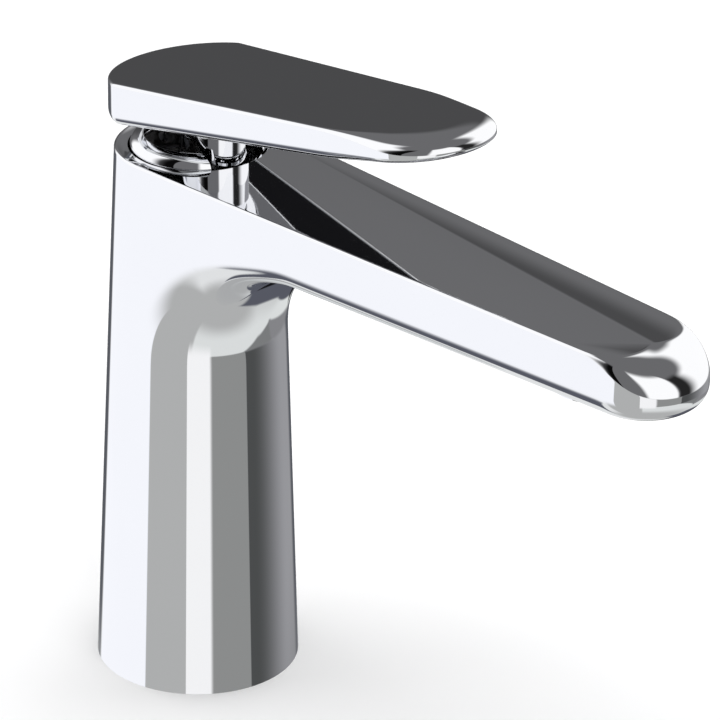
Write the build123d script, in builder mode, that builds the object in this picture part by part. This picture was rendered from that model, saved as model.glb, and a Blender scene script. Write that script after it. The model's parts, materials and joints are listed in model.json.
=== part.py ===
from build123d import *
from math import atan, cos, degrees, radians, sin, sqrt, tan
import os

os.makedirs("parts", exist_ok=True)

# Single-lever basin mixer, closed, in millimetres.
# Origin: centre of the base's underside. +X runs along the spout, +Z is up.

# ---------------------------------------------------------------- driving dimensions: body

base_radius = 25.0
top_radius = 20.0
body_height = 136.4
taper = degrees(atan((base_radius - top_radius) / body_height))

spout_tip_x = 148.6              # centre of the round tip
spout_tip_radius = 14.1
spout_root_half_width = 19.4
spout_rise = 1.9                 # the spout's top is this much higher at its end
spout_root_depth = 17.2
spout_tip_depth = 12.4
spout_under_round = 5.5
spout_top_round = 0.9
gusset_radius = 26.0             # hollow curve from the column to the spout's underside
gusset_half_width = 14.0
gusset_tip_half_width = 10.0
gusset_overlap = 0.5             # how far the curve reaches into the spout

cavity_height = 58.0             # open space inside the column for hoses and stud
cavity_mouth_radius = 20.8
gasket_outer_radius = 23.6
gasket_thickness = 2.0

inlet_x, inlet_y = -3.2, 5.2     # cartridge inlet ports, either side of the middle
inlet_radius = 2.6
outlet_x, outlet_radius = 5.6, 2.8
hose_x, hose_y = -4.0, 7.0       # M10 sockets for the supply hoses
hose_radius, hose_depth = 5.0, 14.0
socket_overlap = 1.0             # how far a water passage runs into its socket
stud_x = 10.5                    # M8 socket for the fixing stud
stud_radius, stud_depth = 4.0, 16.0

seat_z = 92.0                    # floor that the cartridge stands on
cartridge_bore_radius = 12.65
shoulder_z = 118.2               # step that the cartridge's flange rests on
nut_bore_radius = 14.0
dome_floor_z = 129.6             # step that the dome's glide ring lies on
dome_bore_radius = 16.75

riser_x, riser_depth, riser_width = 15.6, 3.0, 12.0
gallery_z, gallery_height = 80.0, 6.0
riser_top_z = 128.2
channel_start_x = 20.0
channel_z, channel_height, channel_width = 126.6, 6.2, 14.0
channel_corner = 2.0
link_length, link_height = 4.0, 4.0   # short level passage between riser and channel

aerator_x, aerator_bore_radius = 133.0, 9.5
aerator_roof_z = 133.2

# ---------------------------------------------------------------- driving dimensions: cartridge

cartridge_radius = 12.5
cartridge_inner_radius = 11.4
housing_foot_z = 94.0
flange_radius, flange_thickness = 13.8, 2.0
neck_radius, neck_bore_radius = 10.2, 8.8
neck_top_z = 126.0
fixed_disc_z, fixed_disc_top_z = 98.0, 101.4
moving_disc_z, moving_disc_top_z = 101.5, 104.0
moving_disc_radius = 8.0
carrier_top_z = 109.6
seal_width, seal_height = 1.2, 1.2
seal_ring_width = 2.35           # base gasket
running_fit = 0.1                # radial play between a plastic piece and its bore
close_fit = 0.05

housing_step_z = 113.0           # inside step that keeps the turret from rising
turret_bottom_z, turret_foot_height = 110.2, 2.4
turret_top_z = 127.0
turret_slot_length, turret_slot_play, turret_slot_corner = 11.2, 0.6, 1.0

mixing_x, mixing_length, mixing_width = 3.6, 6.0, 9.0    # hollow in the moving disc
mixing_corner, mixing_depth = 2.0, 1.4
carrier_plate, carrier_boss_radius = 1.6, 5.0
carrier_socket_play, carrier_floor = 0.2, 0.5

pivot_z = 122.0                  # the lever tilts about a pin along Y at this height
rest_tilt = 12.5                 # the closed spindle leans this far towards the spout
arm_below = 15.0                 # from the pin down to the ball that drives the discs
spindle_side, spindle_corner = 7.0, 0.8
spindle_above, spindle_below = 24.5, 4.0
arm_radius, ball_radius = 1.5, 2.2
disc_shift = arm_below * sin(radians(rest_tilt))
pin_radius, pin_length = 1.5, 16.4
pin_chamfer, pin_play = 0.2, 0.08

nut_top_z = 128.4
nut_notches, nut_notch_width, nut_notch_depth = 6, 3.6, 3.0

# ---------------------------------------------------------------- driving dimensions: dome and lever

dome_centre_z = 125.0
dome_outer_radius = 19.6
dome_inner_radius = 18.2
dome_skirt_radius, dome_skirt_inner = 16.3, 15.0
dome_mouth_radius = 13.0
dome_lip_radius = 12.4
dome_notch_half_width = 8.2
dome_notch_z, dome_notch_height = 135.2, 6.0
dome_gap = 0.3
glide_thickness, glide_inset = 0.8, 0.4

lever_slope = 8.52               # the paddle's top rises this many degrees towards its tip
lever_top_z = 155.8              # height of the top above the column's axis
lever_under_z = 145.3
lever_under_slope = 11.0
lever_back_radius = 21.3
lever_back_x = -7.6              # where the rounded back meets the straight sides
lever_back_half_width = 19.9
lever_tip_x, lever_tip_radius = 77.5, 16.2
lever_under_round = 2.6
lever_top_round = 0.8
lever_tip_edge = 1.8             # thickness left at the very tip
curl_x = 74.0                    # where the underside starts to curl up to the tip
hub_back_x, hub_front_x, hub_half_width = -3.0, 14.4, 7.2
hub_bottom_z = 134.0
socket_play = 0.1
set_screw_z, set_screw_radius, set_screw_length = 142.3, 2.0, 3.4
set_screw_gap, set_screw_fit = 0.4, 0.02
set_screw_key, set_screw_key_depth = 1.1, 1.6

# ---------------------------------------------------------------- driving dimensions: aerator

aerator_bottom_z, aerator_height = 121.8, 8.0
aerator_rim, screen_seat = 1.0, 0.8
insert_radius, insert_wall, insert_height = 8.0, 1.2, 5.0
insert_lift = 1.8                # height of the insert's foot above the housing's bottom
plate_lift, plate_thickness = 2.0, 1.4
jet_circle, jet_radius, jet_count = 5.0, 0.8, 8
plate_bore_radius = 2.0
regulator_radius, regulator_bore, regulator_thickness = 4.0, 1.6, 1.2
washer_width, washer_thickness = 2.85, 1.2
key_notch_depth, key_notch_width, key_notch_height = 1.2, 2.4, 1.2


def column_radius(z):
    """Outside radius of the tapered column at a height."""
    return base_radius - z * tan(radians(taper))


def arm_outline(root_half_width, tip_half_width):
    """Plan of the spout: straight tapering sides and a round tip."""
    with BuildSketch() as plan:
        with BuildLine():
            Polyline(
                (spout_tip_x, -tip_half_width),
                (0, -root_half_width),
                (0, root_half_width),
                (spout_tip_x, tip_half_width),
            )
            ThreePointArc(
                (spout_tip_x, tip_half_width),
                (spout_tip_x + tip_half_width, 0),
                (spout_tip_x, -tip_half_width),
            )
        make_face()
    return plan.sketch


def off_the_axis(edge):
    """True for the edges in front of the column's axis."""
    return edge.center().X > 1


def ring(inner, outer, z, height):
    """A plain ring standing on a height, for rings about the column's axis."""
    with BuildPart() as made:
        with BuildSketch(Plane.XY.offset(z)):
            Circle(outer)
            Circle(inner, mode=Mode.SUBTRACT)
        extrude(amount=height)
    return made.part


def port_rings(z):
    """Three rubber rings round the two inlets and the outlet."""
    with BuildPart() as made:
        with BuildSketch(Plane.XY.offset(z)):
            with Locations((inlet_x, inlet_y), (inlet_x, -inlet_y)):
                Circle(inlet_radius + seal_width)
                Circle(inlet_radius, mode=Mode.SUBTRACT)
            with Locations((outlet_x, 0)):
                Circle(outlet_radius + seal_width)
                Circle(outlet_radius, mode=Mode.SUBTRACT)
        extrude(amount=seal_height)
    return made.part


def save(part, name):
    """Label a finished piece and write its file."""
    part.label = name
    export_step(part, f"parts/{name}.step")


# ================================================================ faucet body
# The spout arm, with a rounded underside.

arm_base_z = body_height - spout_root_depth
tip_end_x = spout_tip_x + spout_tip_radius
arm_plan = arm_outline(spout_root_half_width, spout_tip_radius)

with BuildPart() as spout_arm:
    with BuildSketch(Plane.XZ):
        Polygon(
            (0, body_height),
            (0, arm_base_z),
            (tip_end_x + 1, body_height - spout_tip_depth),
            (tip_end_x + 1, body_height + spout_rise),
            align=None,
        )
    extrude(amount=base_radius, both=True)
    with BuildSketch(Plane.XY.offset(arm_base_z)):
        add(arm_plan)
    extrude(amount=spout_root_depth + spout_rise, mode=Mode.INTERSECT)
    underside = spout_arm.faces().sort_by(Axis.Z)[0]
    fillet(underside.edges().filter_by(off_the_axis), spout_under_round)
    topside = spout_arm.faces().sort_by(Axis.Z)[-1]
    fillet(topside.edges().filter_by(off_the_axis), spout_top_round)

# The hollow curve under the spout's root: a flare round the column, kept only under the arm.

gusset_z = arm_base_z + gusset_overlap
flare_foot_z = gusset_z - gusset_radius
flare_foot_radius = column_radius(flare_foot_z)
gusset_plan = arm_outline(gusset_half_width, gusset_tip_half_width)

with BuildPart() as gusset:
    with BuildSketch(Plane.XZ):
        with BuildLine():
            Polyline(
                (flare_foot_radius + gusset_radius, gusset_z),
                (flare_foot_radius + gusset_radius, gusset_z + 1),
                (nut_bore_radius, gusset_z + 1),
                (nut_bore_radius, flare_foot_z),
                (flare_foot_radius, flare_foot_z),
            )
            RadiusArc(
                (flare_foot_radius, flare_foot_z),
                (flare_foot_radius + gusset_radius, gusset_z),
                gusset_radius,
            )
        make_face()
    revolve(axis=Axis.Z)
    with BuildSketch(Plane.XY.offset(flare_foot_z)):
        add(gusset_plan)
    extrude(amount=gusset_radius + 1, mode=Mode.INTERSECT)

gallery_length = riser_x + riser_depth - outlet_x
link_end_x = channel_start_x + link_length

with BuildPart() as faucet_body:
    # tapered column, spout and the curve between them
    with BuildSketch(Plane.XY):
        Circle(base_radius)
    extrude(amount=body_height, taper=taper)
    add(spout_arm.part)
    add(gusset.part)

    # open cavity for the hoses, and the step for the gasket
    with BuildSketch(Plane.XY):
        Circle(cavity_mouth_radius)
    extrude(amount=cavity_height, taper=taper, mode=Mode.SUBTRACT)
    with BuildSketch(Plane.XY):
        Circle(gasket_outer_radius)
    extrude(amount=gasket_thickness, mode=Mode.SUBTRACT)

    # threaded sockets at the top of the cavity, at their nominal size
    with BuildSketch(Plane.XY.offset(cavity_height)):
        with Locations((hose_x, hose_y), (hose_x, -hose_y)):
            Circle(hose_radius)
    extrude(amount=hose_depth, mode=Mode.SUBTRACT)
    with BuildSketch(Plane.XY.offset(cavity_height)):
        with Locations((stud_x, 0)):
            Circle(stud_radius)
    extrude(amount=stud_depth, mode=Mode.SUBTRACT)

    # water passages from the sockets up to the cartridge's seat
    with BuildSketch(Plane.XY.offset(seat_z)):
        with Locations((inlet_x, inlet_y), (inlet_x, -inlet_y)):
            Circle(inlet_radius)
    extrude(amount=-(seat_z - cavity_height - hose_depth + socket_overlap), mode=Mode.SUBTRACT)

    # outlet: down through the seat, forward, and up the front wall into the spout
    with BuildSketch(Plane.XY.offset(seat_z)):
        with Locations((outlet_x, 0)):
            Circle(outlet_radius)
    extrude(amount=-(seat_z - gallery_z), mode=Mode.SUBTRACT)
    with BuildSketch(Plane.XY.offset(gallery_z)):
        with Locations((outlet_x, 0)):
            Rectangle(gallery_length, 2 * outlet_radius, align=(Align.MIN, Align.CENTER))
    extrude(amount=gallery_height, mode=Mode.SUBTRACT)
    with BuildSketch(Plane.XY.offset(gallery_z)):
        with Locations((riser_x, 0)):
            Rectangle(riser_depth, riser_width, align=(Align.MIN, Align.CENTER))
    extrude(amount=riser_top_z - gallery_z, mode=Mode.SUBTRACT)
    with BuildSketch(Plane.XY.offset(riser_top_z)):
        with Locations((riser_x, 0)):
            Rectangle(link_end_x - riser_x, riser_width, align=(Align.MIN, Align.CENTER))
    extrude(amount=-link_height, mode=Mode.SUBTRACT)
    with BuildSketch(Plane.YZ.offset(channel_start_x)):
        with Locations((0, channel_z + channel_height / 2)):
            RectangleRounded(channel_width, channel_height, channel_corner)
    extrude(amount=aerator_x - channel_start_x, mode=Mode.SUBTRACT)

    # bores for the aerator, the cartridge, its nut and the dome
    with BuildSketch(Plane.XY.offset(aerator_roof_z)):
        with Locations((aerator_x, 0)):
            Circle(aerator_bore_radius)
    extrude(amount=-2 * spout_root_depth, mode=Mode.SUBTRACT)
    with BuildSketch(Plane.XY.offset(seat_z)):
        Circle(cartridge_bore_radius)
    extrude(amount=shoulder_z - seat_z, mode=Mode.SUBTRACT)
    with BuildSketch(Plane.XY.offset(shoulder_z)):
        Circle(nut_bore_radius)
    extrude(amount=dome_floor_z - shoulder_z, mode=Mode.SUBTRACT)
    with BuildSketch(Plane.XY.offset(dome_floor_z)):
        Circle(dome_bore_radius)
    extrude(amount=body_height + spout_rise - dome_floor_z, mode=Mode.SUBTRACT)
save(faucet_body.part, "faucet_body")

gasket_radius = gasket_outer_radius - close_fit
gasket_ring = ring(gasket_radius - seal_ring_width, gasket_radius, 0, gasket_thickness)

with BuildPart() as base_gasket:
    add(gasket_ring)
save(base_gasket.part, "base_gasket")

# ================================================================ ceramic cartridge

with BuildPart() as cartridge_base:
    # foot plate and the plug that closes the housing
    with BuildSketch(Plane.XY.offset(seat_z)):
        Circle(cartridge_radius - running_fit)
    extrude(amount=housing_foot_z - seat_z)
    with BuildSketch(Plane.XY.offset(housing_foot_z)):
        Circle(cartridge_inner_radius - close_fit)
    extrude(amount=fixed_disc_z - housing_foot_z)
    # ports, with a counterbore for a seal at both ends
    with BuildSketch(Plane.XY.offset(seat_z)):
        with Locations((inlet_x, inlet_y), (inlet_x, -inlet_y)):
            Circle(inlet_radius)
        with Locations((outlet_x, 0)):
            Circle(outlet_radius)
    extrude(amount=fixed_disc_z - seat_z, mode=Mode.SUBTRACT)
    for floor_z in (seat_z, fixed_disc_z - seal_height):
        with BuildSketch(Plane.XY.offset(floor_z)):
            with Locations((inlet_x, inlet_y), (inlet_x, -inlet_y)):
                Circle(inlet_radius + seal_width)
            with Locations((outlet_x, 0)):
                Circle(outlet_radius + seal_width)
        extrude(amount=seal_height, mode=Mode.SUBTRACT)
save(cartridge_base.part, "cartridge_base")

lower_rings = port_rings(seat_z)
upper_rings = port_rings(fixed_disc_z - seal_height)

with BuildPart() as port_seals:
    add(lower_rings)
save(port_seals.part, "port_seals")

with BuildPart() as disc_seals:
    add(upper_rings)
save(disc_seals.part, "disc_seals")

with BuildPart() as fixed_ceramic_disc:
    with BuildSketch(Plane.XY.offset(fixed_disc_z)):
        Circle(cartridge_inner_radius - running_fit)
        with Locations((inlet_x, inlet_y), (inlet_x, -inlet_y)):
            Circle(inlet_radius, mode=Mode.SUBTRACT)
        with Locations((outlet_x, 0)):
            Circle(outlet_radius, mode=Mode.SUBTRACT)
    extrude(amount=fixed_disc_top_z - fixed_disc_z)
save(fixed_ceramic_disc.part, "fixed_ceramic_disc")

with BuildPart() as moving_ceramic_disc:
    with BuildSketch(Plane.XY.offset(moving_disc_z)):
        with Locations((-disc_shift, 0)):
            Circle(moving_disc_radius)
    extrude(amount=moving_disc_top_z - moving_disc_z)
    # mixing chamber in the underside
    with BuildSketch(Plane.XY.offset(moving_disc_z)):
        with Locations((-disc_shift + mixing_x, 0)):
            RectangleRounded(mixing_length, mixing_width, mixing_corner)
    extrude(amount=mixing_depth, mode=Mode.SUBTRACT)
save(moving_ceramic_disc.part, "moving_ceramic_disc")

with BuildPart() as disc_carrier:
    with BuildSketch(Plane.XY.offset(moving_disc_top_z)):
        with Locations((-disc_shift, 0)):
            Circle(moving_disc_radius)
    extrude(amount=carrier_plate)
    with BuildSketch(Plane.XY.offset(moving_disc_top_z)):
        with Locations((-disc_shift, 0)):
            Circle(carrier_boss_radius)
    extrude(amount=carrier_top_z - moving_disc_top_z)
    # socket for the spindle's ball
    with BuildSketch(Plane.XY.offset(carrier_top_z)):
        with Locations((-disc_shift, 0)):
            Circle(ball_radius + carrier_socket_play)
    extrude(amount=-(carrier_top_z - moving_disc_top_z - carrier_floor), mode=Mode.SUBTRACT)
save(disc_carrier.part, "disc_carrier")

with BuildPart() as cartridge_housing:
    with BuildSketch(Plane.XZ):
        Polygon(
            (cartridge_inner_radius, housing_foot_z),
            (cartridge_radius, housing_foot_z),
            (cartridge_radius, shoulder_z),
            (flange_radius, shoulder_z),
            (flange_radius, shoulder_z + flange_thickness),
            (neck_radius, shoulder_z + flange_thickness),
            (neck_radius, neck_top_z),
            (neck_bore_radius, neck_top_z),
            (neck_bore_radius, housing_step_z),
            (cartridge_inner_radius, housing_step_z),
            align=None,
        )
    revolve(axis=Axis.Z)
save(cartridge_housing.part, "cartridge_housing")

with BuildPart() as spindle_turret:
    with BuildSketch(Plane.XY.offset(turret_bottom_z)):
        Circle(cartridge_inner_radius - 2 * running_fit)
    extrude(amount=turret_foot_height)
    with BuildSketch(Plane.XY.offset(turret_bottom_z)):
        Circle(neck_bore_radius - running_fit)
    extrude(amount=turret_top_z - turret_bottom_z)
    # slot in which the spindle swings, and the hole for its pin
    with BuildSketch(Plane.XY.offset(turret_bottom_z)):
        RectangleRounded(turret_slot_length, spindle_side + turret_slot_play, turret_slot_corner)
    extrude(amount=turret_top_z - turret_bottom_z, mode=Mode.SUBTRACT)
    with BuildSketch(Plane.XZ.offset(-neck_radius)):
        with Locations((0, pivot_z)):
            Circle(pin_radius)
    extrude(amount=2 * neck_radius, mode=Mode.SUBTRACT)
save(spindle_turret.part, "spindle_turret")

with BuildPart() as pivot_pin:
    with BuildSketch(Plane.XZ.offset(-pin_length / 2)):
        with Locations((0, pivot_z)):
            Circle(pin_radius)
    extrude(amount=pin_length)
    chamfer(pivot_pin.faces().filter_by(Axis.Y).edges(), pin_chamfer)
save(pivot_pin.part, "pivot_pin")

# The spindle is drawn along its own axis, which leans forward when the faucet is closed.

spindle_axis = Plane(
    origin=(0, 0, pivot_z),
    x_dir=(cos(radians(rest_tilt)), 0, -sin(radians(rest_tilt))),
    z_dir=(sin(radians(rest_tilt)), 0, cos(radians(rest_tilt))),
)

with BuildPart() as cartridge_spindle:
    with BuildSketch(spindle_axis.offset(-spindle_below)):
        RectangleRounded(spindle_side, spindle_side, spindle_corner)
    extrude(amount=spindle_below + spindle_above)
    with BuildSketch(spindle_axis.offset(-arm_below)):
        Circle(arm_radius)
    extrude(amount=arm_below)
    with Locations(spindle_axis.offset(-arm_below)):
        Sphere(ball_radius)
    with BuildSketch(Plane.XZ.offset(-spindle_side)):
        with Locations((0, pivot_z)):
            Circle(pin_radius + pin_play)
    extrude(amount=2 * spindle_side, mode=Mode.SUBTRACT)
save(cartridge_spindle.part, "cartridge_spindle")

nut_bottom_z = shoulder_z + flange_thickness
nut_height = nut_top_z - nut_bottom_z
nut_ring = ring(neck_radius + 2 * running_fit, nut_bore_radius - close_fit, nut_bottom_z, nut_height)

with BuildPart() as retaining_nut:
    add(nut_ring)
    # notches for the spanner
    with BuildSketch(Plane.XY.offset(nut_top_z)):
        with PolarLocations(nut_bore_radius, nut_notches):
            Rectangle(nut_notch_width, nut_notch_depth)
    extrude(amount=-nut_notch_depth, mode=Mode.SUBTRACT)
save(retaining_nut.part, "retaining_nut")

# ================================================================ dome cap and its glide ring

glide_ring = ring(
    dome_skirt_inner - glide_inset,
    dome_bore_radius - close_fit,
    dome_floor_z,
    glide_thickness,
)

with BuildPart() as dome_glide_ring:
    add(glide_ring)
save(dome_glide_ring.part, "dome_glide_ring")


def sphere_z(radius, reach):
    """Height of a sphere about the dome's centre at a distance from the axis."""
    return dome_centre_z + sqrt(radius ** 2 - reach ** 2)


skirt_bottom_z = dome_floor_z + glide_thickness + dome_gap
outer_mid = (dome_skirt_radius + dome_mouth_radius) / 2
inner_mid = (dome_skirt_inner + dome_lip_radius) / 2

with BuildPart() as dome_cap:
    with BuildSketch(Plane.XZ):
        with BuildLine():
            Line(
                (dome_skirt_radius, skirt_bottom_z),
                (dome_skirt_radius, sphere_z(dome_outer_radius, dome_skirt_radius)),
            )
            ThreePointArc(
                (dome_skirt_radius, sphere_z(dome_outer_radius, dome_skirt_radius)),
                (outer_mid, sphere_z(dome_outer_radius, outer_mid)),
                (dome_mouth_radius, sphere_z(dome_outer_radius, dome_mouth_radius)),
            )
            Line(
                (dome_mouth_radius, sphere_z(dome_outer_radius, dome_mouth_radius)),
                (dome_lip_radius, sphere_z(dome_inner_radius, dome_lip_radius)),
            )
            ThreePointArc(
                (dome_lip_radius, sphere_z(dome_inner_radius, dome_lip_radius)),
                (inner_mid, sphere_z(dome_inner_radius, inner_mid)),
                (dome_skirt_inner, sphere_z(dome_inner_radius, dome_skirt_inner)),
            )
            Polyline(
                (dome_skirt_inner, sphere_z(dome_inner_radius, dome_skirt_inner)),
                (dome_skirt_inner, skirt_bottom_z),
                (dome_skirt_radius, skirt_bottom_z),
            )
        make_face()
    revolve(axis=Axis.Z)
    # notch at the front for the lever's neck
    with BuildSketch(Plane.XY.offset(dome_notch_z)):
        Rectangle(base_radius, 2 * dome_notch_half_width, align=(Align.MIN, Align.CENTER))
    extrude(amount=dome_notch_height, mode=Mode.SUBTRACT)
save(dome_cap.part, "dome_cap")

# ================================================================ lever

lever_end_x = lever_tip_x + lever_tip_radius


def lever_top(x):
    """Height of the paddle's flat top."""
    return lever_top_z + x * tan(radians(lever_slope))


def lever_under(x):
    """Height of the paddle's flat underside."""
    return lever_under_z + x * tan(radians(lever_under_slope))


def behind_the_curl(edge):
    """True for the edges of the flat underside that stay clear of the curled tip."""
    return edge.center().X < curl_x - 1


def widest_face(piece, facing):
    """The largest face that looks up (facing=1) or down (facing=-1)."""
    level = piece.faces().filter_by(lambda face: face.normal_at().Z * facing > 0.9)
    return level.sort_by(SortBy.AREA)[-1]


back_x = -lever_back_radius - 1
tip_under_z = lever_top(lever_end_x) - lever_tip_edge
blank_base_z = lever_under(back_x) - 1
blank_height = lever_top(lever_end_x) - blank_base_z + 1
socket_start = hub_bottom_z - pivot_z - spindle_below
socket_end = spindle_above + carrier_floor

with BuildPart() as lever_handle:
    # side view of the paddle
    with BuildSketch(Plane.XZ):
        with BuildLine():
            Polyline(
                (lever_end_x + 1, tip_under_z),
                (lever_end_x + 1, lever_top(lever_end_x + 1)),
                (back_x, lever_top(back_x)),
                (back_x, lever_under(back_x)),
                (curl_x, lever_under(curl_x)),
            )
            TangentArc(
                (curl_x, lever_under(curl_x)),
                (lever_end_x + 1, tip_under_z),
                tangent=(1, tan(radians(lever_under_slope))),
            )
        make_face()
    extrude(amount=base_radius, both=True)
    # plan view: arc at the back about the column's axis, round tip
    with BuildSketch(Plane.XY.offset(blank_base_z)):
        with BuildLine():
            ThreePointArc(
                (lever_back_x, lever_back_half_width),
                (-lever_back_radius, 0),
                (lever_back_x, -lever_back_half_width),
            )
            Line((lever_back_x, -lever_back_half_width), (lever_tip_x, -lever_tip_radius))
            ThreePointArc(
                (lever_tip_x, -lever_tip_radius),
                (lever_end_x, 0),
                (lever_tip_x, lever_tip_radius),
            )
            Line((lever_tip_x, lever_tip_radius), (lever_back_x, lever_back_half_width))
        make_face()
    extrude(amount=blank_height, mode=Mode.INTERSECT)
    under_edges = widest_face(lever_handle, facing=-1).edges()
    fillet(under_edges.filter_by(behind_the_curl), lever_under_round)
    fillet(widest_face(lever_handle, facing=1).edges(), lever_top_round)
    # neck that goes down through the dome's notch
    with BuildSketch(Plane.XY.offset(hub_bottom_z)):
        with Locations(((hub_back_x + hub_front_x) / 2, 0)):
            SlotOverall(hub_front_x - hub_back_x, 2 * hub_half_width)
    extrude(amount=lever_top_z - 2 - hub_bottom_z)
    # square socket for the spindle, and the hole for the set screw behind it
    with BuildSketch(spindle_axis.offset(socket_start)):
        RectangleRounded(spindle_side + socket_play, spindle_side + socket_play, spindle_corner)
    extrude(amount=socket_end - socket_start, mode=Mode.SUBTRACT)
    with BuildSketch(Plane.YZ.offset(hub_back_x - 1)):
        with Locations((0, set_screw_z)):
            Circle(set_screw_radius)
    extrude(amount=2 * set_screw_length, mode=Mode.SUBTRACT)
save(lever_handle.part, "lever_handle")

spindle_x = (set_screw_z - pivot_z) * tan(radians(rest_tilt))
spindle_reach = spindle_side / 2 / cos(radians(rest_tilt))
screw_tip_x = spindle_x - spindle_reach - set_screw_gap

with BuildPart() as lever_set_screw:
    with BuildSketch(Plane.YZ.offset(screw_tip_x)):
        with Locations((0, set_screw_z)):
            Circle(set_screw_radius - set_screw_fit)
    extrude(amount=-set_screw_length)
    with BuildSketch(Plane.YZ.offset(screw_tip_x - set_screw_length)):
        with Locations((0, set_screw_z)):
            RegularPolygon(set_screw_key, 6)
    extrude(amount=set_screw_key_depth, mode=Mode.SUBTRACT)
save(lever_set_screw.part, "lever_set_screw")

# ================================================================ aerator

aerator_top_z = aerator_bottom_z + aerator_height
insert_z = aerator_bottom_z + insert_lift


def aerator_sketch_plane(z):
    """Level plane on the aerator's own axis."""
    return Plane(origin=(aerator_x, 0, z))


with BuildPart() as aerator_housing:
    with BuildSketch(aerator_sketch_plane(aerator_bottom_z)):
        Circle(aerator_bore_radius - close_fit)
        Circle(insert_radius - screen_seat, mode=Mode.SUBTRACT)
    extrude(amount=aerator_height)
    with BuildSketch(aerator_sketch_plane(aerator_bottom_z + aerator_rim)):
        Circle(insert_radius + close_fit)
    extrude(amount=aerator_height - aerator_rim, mode=Mode.SUBTRACT)
    # four notches in the lower rim for the key
    with BuildSketch(aerator_sketch_plane(aerator_bottom_z)):
        with PolarLocations(aerator_bore_radius, 4, start_angle=45):
            Rectangle(key_notch_depth, key_notch_width)
    extrude(amount=key_notch_height, mode=Mode.SUBTRACT)
save(aerator_housing.part, "aerator_housing")


def screen(z, thickness, hole_radius, pitch):
    """A thin round screen with a grid of holes."""
    with BuildPart() as made:
        with BuildSketch(aerator_sketch_plane(z)):
            Circle(insert_radius)
            with HexLocations(pitch / 2, 5, 5):
                Circle(hole_radius, mode=Mode.SUBTRACT)
        extrude(amount=thickness)
    return made.part


outlet_mesh = screen(aerator_bottom_z + aerator_rim, thickness=0.8, hole_radius=0.9, pitch=2.4)
inlet_mesh = screen(insert_z + insert_height, thickness=0.6, hole_radius=0.6, pitch=1.9)

with BuildPart() as aerator_outlet_screen:
    add(outlet_mesh)
save(aerator_outlet_screen.part, "aerator_outlet_screen")

with BuildPart() as aerator_insert:
    with BuildSketch(aerator_sketch_plane(insert_z)):
        Circle(insert_radius)
        Circle(insert_radius - insert_wall, mode=Mode.SUBTRACT)
    extrude(amount=insert_height)
    with BuildSketch(aerator_sketch_plane(insert_z + plate_lift)):
        Circle(insert_radius - insert_wall)
        with PolarLocations(jet_circle, jet_count):
            Circle(jet_radius, mode=Mode.SUBTRACT)
        Circle(plate_bore_radius, mode=Mode.SUBTRACT)
    extrude(amount=plate_thickness)
save(aerator_insert.part, "aerator_insert")

with BuildPart() as flow_regulator:
    with BuildSketch(aerator_sketch_plane(insert_z + plate_lift + plate_thickness)):
        Circle(regulator_radius)
        Circle(regulator_bore, mode=Mode.SUBTRACT)
    extrude(amount=regulator_thickness)
save(flow_regulator.part, "flow_regulator")

with BuildPart() as aerator_inlet_screen:
    add(inlet_mesh)
save(aerator_inlet_screen.part, "aerator_inlet_screen")

with BuildPart() as aerator_washer:
    with BuildSketch(aerator_sketch_plane(aerator_top_z)):
        Circle(aerator_bore_radius - close_fit)
        Circle(aerator_bore_radius - washer_width, mode=Mode.SUBTRACT)
    extrude(amount=washer_thickness)
save(aerator_washer.part, "aerator_washer")
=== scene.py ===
import json
from math import atan, atan2, cos, pi, radians, sin, sqrt, tan

import bmesh
import bpy
import numpy as np
from mathutils import Matrix, Vector


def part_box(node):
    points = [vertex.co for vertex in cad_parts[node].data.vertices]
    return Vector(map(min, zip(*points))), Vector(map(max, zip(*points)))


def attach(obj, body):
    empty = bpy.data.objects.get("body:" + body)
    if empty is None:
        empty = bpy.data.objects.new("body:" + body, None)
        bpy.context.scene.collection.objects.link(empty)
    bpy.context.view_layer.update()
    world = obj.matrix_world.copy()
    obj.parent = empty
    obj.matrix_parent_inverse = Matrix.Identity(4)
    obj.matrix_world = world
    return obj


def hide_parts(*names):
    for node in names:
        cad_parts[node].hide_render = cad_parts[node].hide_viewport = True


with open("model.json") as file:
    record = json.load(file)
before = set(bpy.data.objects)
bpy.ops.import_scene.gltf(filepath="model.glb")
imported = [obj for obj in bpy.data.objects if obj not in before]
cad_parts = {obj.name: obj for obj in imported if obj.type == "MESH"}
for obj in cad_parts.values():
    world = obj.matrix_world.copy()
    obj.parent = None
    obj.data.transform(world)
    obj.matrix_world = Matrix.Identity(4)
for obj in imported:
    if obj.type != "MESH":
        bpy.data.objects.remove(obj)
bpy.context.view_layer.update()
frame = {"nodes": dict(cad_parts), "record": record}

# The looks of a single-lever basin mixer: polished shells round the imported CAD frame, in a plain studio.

MM = 0.001
RIGHT_ANGLE = pi / 2

# ---------------------------------------------------------------- driving dimensions, in metres
# The frame gives the outer sizes; the rest are the shapes that the frame's plain solids only stand for.

body_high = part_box("faucet_body")[1]
lever_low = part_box("lever_handle")[0]
dome_low, dome_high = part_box("dome_cap")
aerator_low, aerator_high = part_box("aerator_housing")

BASE_RADIUS = body_high.y
BODY_TOP = 136.4 * MM               # at the column's axis; the whole top rises gently to the tip
TOP_RISE = (body_high.z - BODY_TOP) / body_high.x * 0.98    # a little less than the frame's, to stay inside
TOP_RADIUS = 20 * MM
TAPER = atan((BASE_RADIUS - TOP_RADIUS) / BODY_TOP)

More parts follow.
